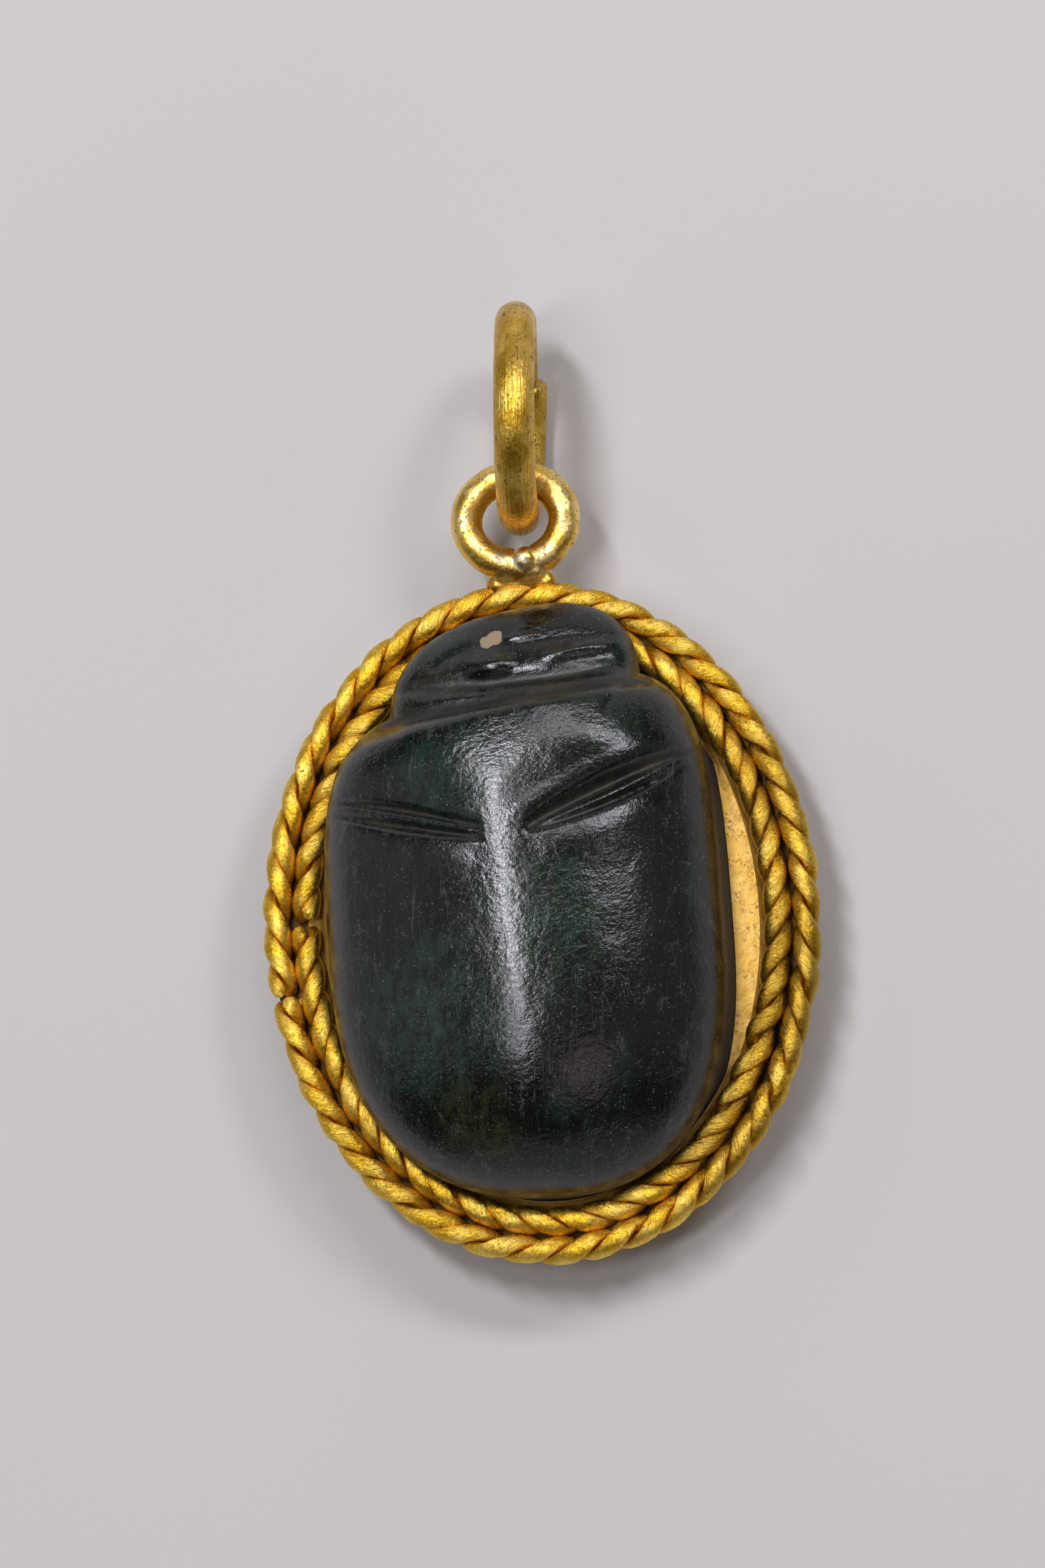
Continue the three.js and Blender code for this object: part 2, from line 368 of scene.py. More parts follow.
@dataclass(frozen=True)
class StoneFinish:
    """Polished near-black green stone, mottled and dusty, with a leathery skin and hair scratches.

    Reads the vertex layer "groove", 1 in the depth of the carved lines, which turn towards black and olive
    grime there, partly grime and partly painted shade. The patches are clouds in the stone, the residue is a
    crust on the head, and the film is a haze on the side wall, rougher and of a paler grey that is a painted
    sheen, which fades out with height.
    """

    name: str = "dark_stone"
    black: Colour = (0.0022, 0.0024, 0.0021)
    green: Colour = (0.004, 0.011, 0.006)
    speck: Colour = (0.34, 0.35, 0.33)
    dust: Colour = (0.058, 0.064, 0.06)
    # grime in the grooves, whose darkness there is partly painted shade
    dirt_and_shade: Colour = (0.022, 0.021, 0.01)
    # painted sheen: the paler grey of the side wall
    film: Colour = (0.034, 0.033, 0.043)
    sheen_fades: Point = (3.5, 4.8)
    roughness: float = 0.19
    specular: float = 0.6
    patches: tuple[Patch, ...] = (
        Patch(-4.4, 1.8, 3.2, (0.012, 0.008, 0.012), 0.9),
        Patch(-2.6, -3.4, 3.0, (0.011, 0.028, 0.02), 0.9),
        Patch(0.7, -0.4, 2.4, (0.004, 0.022, 0.007), 0.95),
        Patch(-1.9, 4.1, 2.1, (0.008, 0.027, 0.015), 0.9),
        Patch(-2.0, -6.2, 1.6, (0.017, 0.021, 0.004), 0.8),
        Patch(1.6, 5.4, 2.6, (0.007, 0.013, 0.006), 0.8),
        Patch(-0.4, -2.6, 1.5, (0.006, 0.019, 0.009), 0.8),
        Patch(-2.6, 6.7, 1.3, (0.024, 0.018, 0.01), 0.8),
    )
    residue: tuple[Patch, ...] = (
        Patch(-0.78, 8.18, 0.26, (0.3, 0.22, 0.13), 1.0, 5.3),
        Patch(-0.52, 8.3, 0.3, (0.3, 0.22, 0.13), 1.0, 5.3),
    )

    def make(self) -> Material:
        """Builds the material.

        Returns:
            The material.
        """
        s = Surface(self.name)
        mottle = s.noise(0.42, 5.0, rough=0.62)
        fibres = s.noise(3.2, 6.0, s.millimetres((1.0, 0.3, 1.0), 12.0), 0.68)
        clouds = s.noise(1.1, 6.0, rough=0.66)
        grainy = s.noise(12.0, 4.0, rough=0.72)
        colour = s.blend((mottle + (fibres - 0.5) * 0.5).ramp(0.5, 0.68), self.black, self.green)
        streaked = (fibres + (grainy - 0.5) * 0.6).ramp(0.34, 0.62)
        for patch in self.patches:
            colour = s.blend(patch.spread(s, clouds) * streaked * patch.cover, colour, patch.colour)
        dusty = (grainy + (fibres - 0.5) * 0.8 + (clouds - 0.5) * 0.8).ramp(0.6, 0.78)
        colour = s.blend(dusty * 0.6, colour, self.dust)
        specks = self._specks(s)
        colour = s.blend(specks, colour, self.speck)
        scratched = self._scratches(s)
        colour = s.blend(scratched * 0.08, colour, self.speck)
        # The carved lines go towards black and olive grime: partly grime, partly painted shade in their depth.
        groove = s.layer("groove")
        colour = s.blend(groove * 0.85, colour, s.blend(clouds.ramp(0.4, 0.6), self.black, self.dirt_and_shade))
        crust = self._crust(s)
        colour = s.blend(crust, colour, self.residue[0].colour)
        # Painted sheen: the low side wall is lifted to a paler grey, fading out with height; it is also made
        # rougher.
        wall = 1.0 - s.height_mm().ramp(*self.sheen_fades)
        colour = s.blend(wall * 0.8, colour, self.film)
        rough = self.roughness + (grainy - 0.5) * 0.3 + (mottle - 0.5) * 0.15
        rough = rough + scratched * 0.2 + specks * 0.3 + groove * 0.35 + crust * 0.4 + wall * 0.5
        waves = s.bump(s.noise(0.8, 2.0), 0.04)
        creases = s.noise(7.0, 3.0, s.millimetres((0.7, 1.0, 1.0), -14.0), 0.64)
        leather = s.bump(creases, 0.018, waves)
        grain = s.bump(grainy, 0.003, leather)
        return s.feed(
            Base_Color=colour, Roughness=rough, Normal=grain, Specular_IOR_Level=self.specular
        )

    def _crust(self, s: Surface) -> Shade:
        """The pale residue: its patches run together into one crisp spot.

        Args:
            s: the stone's surface.

        Returns:
            Its cover.
        """
        ragged = 0.5 + (s.noise(4.5, 2.0) - 0.5) * 0.4
        first, second = (patch.spread(s, ragged, 0.1) for patch in self.residue)
        return (first + second).ramp(0.35, 0.6)

    @staticmethod
    def _specks(s: Surface) -> Shade:
        """Pale dust, of two sizes.

        Args:
            s: the stone's surface.

        Returns:
            Its cover.
        """
        fine = s.spots(9.0, 0.08, 0.19) * s.noise(3.1, 3.0).ramp(0.44, 0.6)
        coarse = s.spots(3.3, 0.04, 0.08) * s.noise(1.3, 3.0).ramp(0.46, 0.58)
        return fine * 0.5 + coarse * 0.7

    @staticmethod
    def _scratches(s: Surface) -> Shade:
        """Hair scratches, most of them lengthwise and some across.

        Args:
            s: the stone's surface.

        Returns:
            Their cover.
        """
        layers = []
        for turn, per_mm, width, shown in (
            (7.0, 3.6, 0.012, 0.5),
            (-9.0, 2.7, 0.01, 0.54),
            (74.0, 2.2, 0.01, 0.6),
        ):
            where = s.millimetres((1.0, 0.09, 0.05), turn)
            line = 1.0 - abs(s.noise(per_mm, 0.0, where) - 0.5).ramp(0.0, width)
            patchy = s.noise(1.2, 3.0, s.millimetres((1.0, 0.45, 1.0), turn)).ramp(shown, shown + 0.1)
            layers.append(line * patchy)
        lengthwise, leaning, across = layers
        return lengthwise + leaning + across


# Near-black painted shadow, for the flange seen through the gaps in the ropes.
HOLE_SHADOW = (0.012, 0.006, 0.002)
# Brown painted shade, for the ropes' dimmer right side.
BROWN_SHADE = (0.34, 0.19, 0.02)
FLANGE_LEVEL = 2.9
ROPE_LEVEL = 3.0
LOOP_TOP = 3.6

GOLDS = {
    Slot.SHEET: GoldFinish(
        "sheet_gold",
        metal=(0.52, 0.31, 0.055),
        pale=(0.63, 0.41, 0.11),
        painted_shade=(0.4, 0.22, 0.03),
        soil_and_shade=(0.1, 0.05, 0.006),
        roughness=0.5,
        grit=0.7,
        grain=0.3,
        film=0.2,
        # Painted shadows: near-black spots on the flange under the gaps that the ropes open at their holes.
        stains=tuple(
            Patch(x, y, radius, HOLE_SHADOW, cover, FLANGE_LEVEL)
            for x, y, radius, cover in (
                (7.45, 1.0, 0.6, 0.95),
                (7.4, -2.0, 0.7, 0.95),
                (6.85, -4.1, 0.9, 1.0),
                (6.3, -5.3, 0.7, 1.0),
                (5.7, -6.3, 0.7, 1.0),
                (2.5, -8.9, 0.6, 0.9),
            )
        ),
    ),
    Slot.WIRE: GoldFinish(
        "wire_gold",
        metal=(0.83, 0.49, 0.03),
        pale=(0.98, 0.67, 0.12),
        painted_shade=(0.8, 0.42, 0.02),
        soil_and_shade=(0.24, 0.11, 0.01),
        roughness=0.3,
        grit=0.9,
        grain=1.3,
        # Painted shade: brown and darker gold over the ropes' right side.
        stains=(
            Patch(7.6, -2.4, 3.6, BROWN_SHADE, 0.62, ROPE_LEVEL),
            Patch(5.6, -7.2, 2.4, BROWN_SHADE, 0.5, ROPE_LEVEL),
            Patch(7.0, 3.4, 2.6, (0.45, 0.26, 0.03), 0.5, ROPE_LEVEL),
        ),
    ),
    Slot.LOOP: GoldFinish(
        "loop_gold",
        metal=(0.84, 0.53, 0.09),
        pale=(0.98, 0.74, 0.3),
        painted_shade=(0.62, 0.32, 0.05),
        soil_and_shade=(0.1, 0.05, 0.01),
        roughness=0.34,
        grit=1.3,
        grain=0.8,
        stains=(
            Patch(0.22, 10.85, 0.3, (0.86, 0.72, 0.5), 0.8, LOOP_TOP),
            Patch(-0.42, 11.0, 0.26, (0.2, 0.17, 0.14), 0.7, LOOP_TOP),
        ),
    ),
    Slot.RING: GoldFinish(
        "ring_gold",
        metal=(0.6, 0.35, 0.03),
        pale=(0.82, 0.54, 0.11),
        painted_shade=(0.42, 0.24, 0.025),
        soil_and_shade=(0.07, 0.042, 0.006),
        roughness=0.32,
        grit=1.3,
        grain=1.8,
    ),
}


# ---- Mesh helpers ----


def smoothstep(value: np.ndarray, low: float, high: float) -> np.ndarray:
    """Rises smoothly from 0 at low to 1 at high."""
    t = np.clip((value - low) / (high - low), 0.0, 1.0)
    return t * t * (3.0 - 2.0 * t)


def read_vertices(bm: BMesh) -> np.ndarray:
    """The vertices' places as an array of rows."""
    return np.array([vertex.co[:] for vertex in bm.verts])


def move_vertices(bm: BMesh, places: np.ndarray) -> None:
    """Moves the vertices to the rows of an array."""
    for vertex, place in zip(bm.verts, places):
        vertex.co = place


def store_layer(bm: BMesh, name: str, values: np.ndarray) -> None:
    """Keeps a number at each vertex for the material to read.

    Args:
        bm: the mesh.
        name: the layer's name.
        values: the numbers, in the vertices' order.
    """
    layer = bm.verts.layers.float.new(name)
    for vertex, value in zip(bm.verts, values):
        vertex[layer] = value


def read_layer(bm: BMesh, name: str) -> np.ndarray:
    """The number kept at each vertex under a name."""
    layer = bm.verts.layers.float[name]
    return np.array([vertex[layer] for vertex in bm.verts])


def read_polar(bm: BMesh) -> tuple[np.ndarray, np.ndarray, np.ndarray]:
    """The vertices' angles round +Z, their distances from it and their heights."""
    x, y, z = read_vertices(bm).T
    return np.arctan2(y, x), np.hypot(x, y), z


def spin_round(section: list[Point], steps: int, closed: bool) -> BMesh:
    """Spins a section round +Z.

    Args:
        section: distances from the axis, with their heights.
        steps: how many steps make the round.
        closed: whether the section's ends are joined.

    Returns:
        The mesh.
    """
    bm = bmesh.new()
    verts = [bm.verts.new((distance, 0.0, height)) for distance, height in section]
    after = verts[1:] + (verts[:1] if closed else [])
    geometry = verts + [bm.edges.new(pair) for pair in zip(verts, after)]
    bmesh.ops.spin(
        bm, geom=geometry, cent=(0, 0, 0), axis=(0, 0, 1), angle=TURN, steps=steps, use_merge=True
    )
    return bm


def finish_piece(
    bm: BMesh,
    name: str,
    material: Material,
    node: str,
    crease: float = 35.0,
) -> Object:
    """Turns a bmesh in millimetres into a piece of the object.

    Args:
        bm: the mesh; it is freed.
        name: the piece's name.
        material: its finish.
        node: the node of the frame that the piece stands for.
        crease: the angle, in degrees, from which an edge stays sharp.

    Returns:
        The new object, riding on the frame.
    """
    bmesh.ops.recalc_face_normals(bm, faces=bm.faces[:])
    bmesh.ops.scale(bm, vec=(MM, MM, MM), verts=bm.verts[:])
    for face in bm.faces:
        face.smooth = True
    for edge in bm.edges:
        edge.smooth = edge.calc_face_angle(0.0) < math.radians(crease)
    mesh = bpy.data.meshes.new(name)
    bm.to_mesh(mesh)
    bm.free()
    mesh.materials.append(material)
    piece = bpy.data.objects.new(name, mesh)
    bpy.context.scene.collection.objects.link(piece)
    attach(piece, "root")
    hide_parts(node)
    triangles = sum(len(polygon.vertices) - 2 for polygon in mesh.polygons)
    LOG.info("%s: %d triangles, for %s", name, triangles, node)
    return piece


@dataclass
class Wire:
    """A round wire swept along a path, ring by ring.

    Each ring of the path has a middle, an outward direction and a radius, and widening makes the wire's
    section broader than it is high. The wire carries the vertex layers that a gold finish reads: "along" in
    millimetres, and "turn_a" and "turn_b", the cosine and sine of the angle round it from outwards.
    """

    centres: np.ndarray
    outwards: np.ndarray
    radii: np.ndarray
    sides: int = 16
    widening: float = 1.0

    def build(self) -> BMesh:
        """Sweeps the wire by extruding a circle from ring to ring, and closes its ends.

        Returns:
            The wire's mesh.
        """
        tangents = np.gradient(self.centres, axis=0)
        tangents /= np.linalg.norm(tangents, axis=1)[:, None]
        sideways = np.cross(tangents, self.outwards)
        sideways /= np.linalg.norm(sideways, axis=1)[:, None]
        upwards = np.cross(sideways, tangents)
        steps = np.linalg.norm(np.diff(self.centres, axis=0), axis=1)
        distance = np.concatenate([[0.0], np.cumsum(steps)])
        angles = TURN * np.arange(self.sides) / self.sides
        bm = bmesh.new()
        layers = {name: bm.verts.layers.float.new(name) for name in ("along", "turn_a", "turn_b")}
        ring = bmesh.ops.create_circle(bm, cap_ends=True, radius=1.0, segments=self.sides)["verts"]
        edges = bm.edges[:]
        for index, centre in enumerate(self.centres):
            if index:
                made = bmesh.ops.extrude_edge_only(bm, edges=edges)["geom"]
                ring = [item for item in made if isinstance(item, BMVert)]
                edges = [item for item in made if isinstance(item, BMEdge) and item.is_boundary]
            for vertex, angle in zip(ring, angles):
                turn = (math.cos(angle), math.sin(angle))
                section = upwards[index] * turn[0] + sideways[index] * turn[1] * self.widening
                vertex.co = centre + section * self.radii[index]
                vertex[layers["along"]] = distance[index]
                vertex[layers["turn_a"]], vertex[layers["turn_b"]] = turn
        bmesh.ops.holes_fill(bm, edges=edges)
        return bm


def weather(bm: BMesh, size: float, depth: float, seed: float) -> None:
    """Dents a mesh gently along its normals.

    Args:
        bm: the mesh, in millimetres.
        size: how wide the dents are, about.
        depth: how far the surface moves, in or out, at most.
        seed: a number that picks the pattern.
    """
    bm.normal_update()
    shift = Vector((seed, 2.0 * seed, -seed))
    moves = [noise.noise(vertex.co / size + shift) * depth for vertex in bm.verts]
    for vertex, move in zip(bm.verts, moves):
        vertex.co += vertex.normal * move


def smooth_ends(count: int, rings: int, least: float) -> np.ndarray:
    """Radius factors for a wire whose cut ends are rounded.

    Args:
        count: how many rings the wire has.
        rings: how many of them the rounding takes at each end.
        least: the factor at the very end.

    Returns:
        A factor for each ring.
    """
    from_end = np.minimum(np.arange(count), np.arange(count)[::-1])
    t = np.clip(from_end / rings, 0.0, 1.0)
    return least + (1.0 - least) * np.sqrt(1.0 - (1.0 - t) ** 2)


# ---- The stone ----


@dataclass(frozen=True)
class Oval:
    """Half an oval outline: a reach to either side, a reach forward or back, and how square it is."""

    half_width: float
    reach: float
    power: float = 2.0

    def level(self, across: np.ndarray, forward: np.ndarray) -> np.ndarray:
        """How far out each place is: below 1 inside, 1 on the edge and above 1 outside."""
        sides = np.abs(across / self.half_width) ** self.power
        return (sides + np.abs(forward / self.reach) ** self.power) ** (1.0 / self.power)


@dataclass(frozen=True)
class Stroke:
    """One carved line or raised ridge over the back, from start to end and bowed sideways.

    height is in millimetres, negative for a groove. square is 2 for a rounded section and more for a steeper
    one, and a low taper keeps the stroke broad to its ends.
    """

    start: Point
    end: Point
    bow: float
    width: float
    height: float
    square: float = 2.0
    taper: float = 0.6

    def relief(self, x: np.ndarray, y: np.ndarray) -> np.ndarray:
        """How far the stroke raises or lowers the surface.

        Args:
            x, y: places across and along.

        Returns:
            The change of height at each place.
        """
        start, end = np.array(self.start), np.array(self.end)
        span = end - start
        length = float(np.hypot(*span))
        ahead = span / length
        aside = np.array([-ahead[1], ahead[0]])
        along = (x - start[0]) * ahead[0] + (y - start[1]) * ahead[1]
        t = np.clip(along / length, 0.0, 1.0)
        off = (x - start[0]) * aside[0] + (y - start[1]) * aside[1] - self.bow * np.sin(math.pi * t)
        past = along - t * length
        taper = np.sin(math.pi * t) ** self.taper
        width = self.width * (0.35 + 0.65 * taper)
        spread = (np.hypot(off, past) / width) ** self.square
        return self.height * taper * np.exp(-spread)


@dataclass(frozen=True)
class SealFace:
    """The incised underside: an oval border line, and rows of shallow strokes that aren't letters.

    The border is where the outline's level is border_at. A row's strokes stand a column_step apart across the
    field, moved, turned and lengthened by chance.
    """

    outline: Oval
    border_at: float = 0.84
    border_width: float = 0.014
    border_depth: float = 0.1
    rows: int = 6
    rows_reach: float = 4.8
    field: Oval = Oval(4.3, 6.9)
    margin: float = 0.4
    column_step: float = 1.25
    stroke_width: float = 0.11
    stroke_depth: float = 0.07
    deepest: float = 0.11
    seed: int = 11

    def depth(self, x: np.ndarray, y: np.ndarray) -> np.ndarray:
        """How deep the face is cut.

        Args:
            x, y: places across and along.

        Returns:
            The depth at each place.
        """
        off_border = (self.outline.level(x, y) - self.border_at) / self.border_width
        depth = self.border_depth * np.exp(-(off_border**2))
        chance = np.random.default_rng(self.seed)
        for row in np.linspace(-self.rows_reach, self.rows_reach, self.rows):
            half = self.field.half_width * math.sqrt(1.0 - (row / self.field.reach) ** 2)
            for column in np.arange(-half + self.margin, half, self.column_step):
                middle = np.array([column + chance.uniform(-0.2, 0.2), row + chance.uniform(-0.15, 0.15)])
                lean = chance.uniform(0.0, math.pi)
                reach = np.array([math.cos(lean), math.sin(lean)]) * chance.uniform(0.25, 0.5)
                ends = tuple(middle - reach), tuple(middle + reach)
                bow = chance.uniform(-0.15, 0.15)
                stroke = Stroke(*ends, bow, self.stroke_width, self.stroke_depth, 2.0, 0.4)
                depth += stroke.relief(x, y)
        return np.minimum(depth, self.deepest)


@dataclass
class Scarab:
    """The carved stone: a seal face, an upright foot, a rim that overhangs at the head, and a domed back.

    The outline is the body's and the head's ovals together, skewed as the stone is cut askew. The foot keeps
    inside an oval and spreads by the batter. The back rises from the rim to back_rise, to less at the head,
    and falls off on both sides of the keel.
    """

    centre: Point = (-0.35, 0.2)
    body_place: Point = (-0.36, -1.0)
    body_front: Oval = Oval(5.93, 8.0, 4.1)
    body_rear: Oval = Oval(5.93, 7.38, 2.4)
    front_skew: float = 0.11
    rear_skew: float = 0.06
    head_place: Point = (-0.2, 6.3)
    head: Oval = Oval(3.8, 3.0, 2.55)
    head_skew: float = 0.13
    foot: Oval = Oval(6.42, 8.35)
    batter: float = 0.12
    wall_top: float = 3.42
    battered_top: float = 2.55
    rim: float = 3.95
    back_rise: float = 3.65
    head_rise: float = 2.2
    neck_start: float = 5.75
    neck_end: float = 6.8
    dome_power: float = 3.2
    dome_roundness: float = 2.0
    keel_x: float = -0.43
    keel_lean: float = -0.045
    keel_drop: float = 0.95
    keel_round: float = 0.55
    keel_end: float = 5.0
    steps: int = 480
    seal_rings: int = 60
    wall_rings: int = 8
    flare_rings: int = 7
    dome_rings: int = 105
    carving: tuple[Stroke, ...] = (
        Stroke((-5.9, 3.8), (-0.95, 2.3), 0.08, 0.12, -0.26, 1.7, 0.4),
        Stroke((-5.9, 3.42), (-0.95, 2.0), -0.07, 0.13, -0.26, 1.7, 0.4),
        Stroke((0.2, 2.2), (5.3, 4.45), 0.08, 0.2, -0.4, 2.2, 0.5),
        Stroke((0.25, 2.08), (5.2, 4.12), -0.27, 0.11, -0.2, 1.7, 0.4),
        Stroke((-0.2, 2.65), (5.0, 4.9), 0.05, 0.3, 0.06),
        Stroke((0.6, 1.5), (5.0, 3.3), -0.2, 0.6, 0.06),
        Stroke((-5.2, 2.5), (-1.3, 1.3), 0.0, 0.5, 0.05),
        Stroke((-4.3, 5.98), (4.3, 6.64), -0.03, 0.23, -0.34, 2.0, 0.3),
        Stroke((-3.5, 6.36), (3.6, 6.78), 0.08, 0.13, 0.06, 2.0, 0.5),
        Stroke((-4.0, 7.05), (3.3, 6.98), -0.14, 0.26, -0.19, 2.0, 0.4),
        Stroke((-1.5, 7.42), (0.1, 7.52), 0.02, 0.38, 0.2, 2.0, 1.0),
        Stroke((0.8, 7.52), (3.5, 7.82), 0.09, 0.19, 0.12),
        Stroke((0.1, 8.04), (2.9, 8.1), 0.05, 0.22, -0.07, 2.0, 0.5),
        Stroke((1.0, 7.22), (3.4, 7.38), 0.05, 0.24, -0.07),
        Stroke((-2.8, 7.62), (-0.9, 8.5), 0.12, 0.18, 0.03),
        Stroke((-2.6, 7.4), (-0.9, 8.14), 0.1, 0.2, -0.05),
        Stroke((-0.3, 8.24), (0.95, 8.27), 0.03, 0.1, 0.08),
        Stroke((0.1, 8.56), (1.1, 8.5), 0.03, 0.09, 0.06),
    )

    def _body_level(self, x: np.ndarray, y: np.ndarray) -> np.ndarray:
        """How far out each place is on the body's outline.

        Args:
            x, y: places across and along.

        Returns:
            Below 1 inside and above 1 outside.
        """
        across = x - self.body_place[0]
        forward = y - self.body_place[1]
        front = forward - self.front_skew * across * np.clip(forward / self.body_front.reach, 0.0, 1.0)
        rear = forward + self.rear_skew * across * np.clip(-forward / self.body_rear.reach, 0.0, 1.0)
        ahead, behind = self.body_front.level(across, front), self.body_rear.level(across, rear)
        return np.where(forward > 0.0, ahead, behind)

    def _rim_level(self, x: np.ndarray, y: np.ndarray) -> np.ndarray:
        """How far out each place is on the outline of body and head together.

        Args:
            x, y: places across and along.

        Returns:
            Below 1 inside and above 1 outside.
        """
        across = x - self.head_place[0]
        forward = y - self.head_place[1] - self.head_skew * across
        head = np.where(forward < 0.0, np.inf, self.head.level(across, forward))
        return np.minimum(self._body_level(x, y), head)

    def around(self, angle: np.ndarray, radius: np.ndarray) -> tuple[np.ndarray, np.ndarray]:
        """Places across and along, by direction and distance from the stone's centre."""
        return self.centre[0] + radius * np.cos(angle), self.centre[1] + radius * np.sin(angle)

    def _radius(
        self, level: Callable[[np.ndarray, np.ndarray], np.ndarray], angle: np.ndarray
    ) -> np.ndarray:
        """Distance from the stone's centre to an outline.

        Args:
            level: a function of x and y that is 1 on the outline.
            angle: the directions.

        Returns:
            The distance in each direction.
        """
        round_way = np.linspace(0.0, TURN, 2881)
        inside = np.full_like(round_way, 4.0)
        outside = np.full_like(round_way, 12.0)
        for _ in range(30):
            middle = (inside + outside) / 2.0
            within = level(*self.around(round_way, middle)) < 1.0
            inside = np.where(within, middle, inside)
            outside = np.where(within, outside, middle)
        return np.interp(np.mod(angle, TURN), round_way, inside)

    def rim_radius(self, angle: np.ndarray) -> np.ndarray:
        """Distance from the stone's centre to its widest outline."""
        return self._radius(self._rim_level, angle)

    def foot_radius(self, angle: np.ndarray) -> np.ndarray:
        """Distance from the stone's centre to the outline of its foot."""
        return np.minimum(self.rim_radius(angle) + self.batter, self.reach_to(self.foot, angle))

    def reach_to(self, oval: Oval, angle: np.ndarray) -> np.ndarray:
        """Distance from the stone's centre to an oval about the origin."""
        return self._radius(oval.level, angle)

    def back_height(self, x: np.ndarray, y: np.ndarray, out: np.ndarray) -> np.ndarray:
        """Height of the carved back.

        Args:
            x, y: places across and along.
            out: how far each place is from the centre to the rim, from 0 to 1.

        Returns:
            The height over the seal face.
        """
        cap = (1.0 - np.clip(out, 0.0, 1.0) ** self.dome_power) ** (1.0 / self.dome_roundness)
        to_head = smoothstep(y - self.head_skew * x, self.neck_start, self.neck_end)
        rise = self.back_rise + (self.head_rise - self.back_rise) * to_head
        from_keel = np.hypot(x - self.keel_x - self.keel_lean * y, self.keel_round) - self.keel_round
        keel_fade = 1.0 - smoothstep(y, self.keel_end - 2.0, self.keel_end)
        rise = rise - self.keel_drop * from_keel / self.body_front.half_width * keel_fade
        return self.rim + cap * rise

    def _inner_outline(self, angle: np.ndarray, scale: np.ndarray) -> np.ndarray:
        """The rim's radius as the dome feels it: true at the rim, and without its notches further in.

        Args:
            angle: the directions.
            scale: how far in each place is, 1 at the rim.

        Returns:
            The radius in each direction.
        """
        spread = np.radians(np.linspace(-24.0, 24.0, 25))
        weights = np.exp(-((spread / 0.2) ** 2))
        round_way = np.linspace(0.0, TURN, 721)
        rim = self.rim_radius(round_way)
        turned = [np.interp(np.mod(round_way + turn, TURN), round_way, rim) for turn in spread]
        smooth = sum(weight * part for weight, part in zip(weights, turned)) / weights.sum()
        at_rim = smoothstep(scale, 0.76, 1.0)
        inside = np.interp(np.mod(angle, TURN), round_way, smooth)
        return inside + (self.rim_radius(angle) - inside) * at_rim

    def _blank(self) -> BMesh:
        """A round blank spun from a profile.

        Returns:
            The blank; its height counts the rings from the seal face to the top.
        """
        scales = [
            *np.linspace(0.0, 1.0, self.seal_rings + 1),
            *[1.0] * (self.wall_rings + self.flare_rings),
            *np.sin(np.linspace(math.pi / 2.0, 0.0, self.dome_rings + 1)),
        ]
        section = [(scale, float(ring)) for ring, scale in enumerate(scales)]
        bm = spin_round(section, self.steps, closed=False)
        bmesh.ops.remove_doubles(bm, verts=bm.verts[:], dist=1e-5)
        return bm

    def build(self, material: Material) -> Object:
        """Carves the blank and dresses it.

        Args:
            material: the stone's finish.

        Returns:
            The piece.
        """
        bm = self._blank()
        angle, scale, ring = read_polar(bm)
        wall_start = self.seal_rings
        flare_start = wall_start + self.wall_rings
        dome_start = flare_start + self.flare_rings
        up_wall = np.clip((ring - wall_start) / self.wall_rings, 0.0, 1.0)
        out_flare = np.clip((ring - flare_start) / (self.flare_rings + 1), 0.0, 1.0)
        foot, rim = self.foot_radius(angle), self.rim_radius(angle)
        spread = 1.0 - (1.0 - out_flare) ** 1.6
        radius = scale * (foot + (rim - foot) * np.where(ring > dome_start, 1.0, spread))
        x, y = self.around(angle, radius)
        wall_top = np.where(foot < rim, self.wall_top, self.battered_top)
        wall = wall_top * up_wall + (self.rim - wall_top) * out_flare ** 1.4
        out = np.clip(radius / self._inner_outline(angle, scale), 0.0, 1.0)
        carved = sum(stroke.relief(x, y) for stroke in self.carving) * smoothstep(1.0 - scale, 0.0, 0.05)
        back = self.back_height(x, y, out) + carved
        underside = ring < wall_start
        seal = np.zeros_like(x)
        seal[underside] = SealFace(self.foot).depth(x[underside], y[underside])
        z = np.where(ring > dome_start, back, np.where(underside, seal, wall))
        move_vertices(bm, np.column_stack([x, y, z]))
        cut = np.where(ring > dome_start, smoothstep(-carved, 0.05, 0.2), smoothstep(seal, 0.02, 0.08))
        store_layer(bm, "groove", cut)
        return finish_piece(bm, "scarab_stone", material, "scarab", crease=70.0)


# ---- The gold mount ----


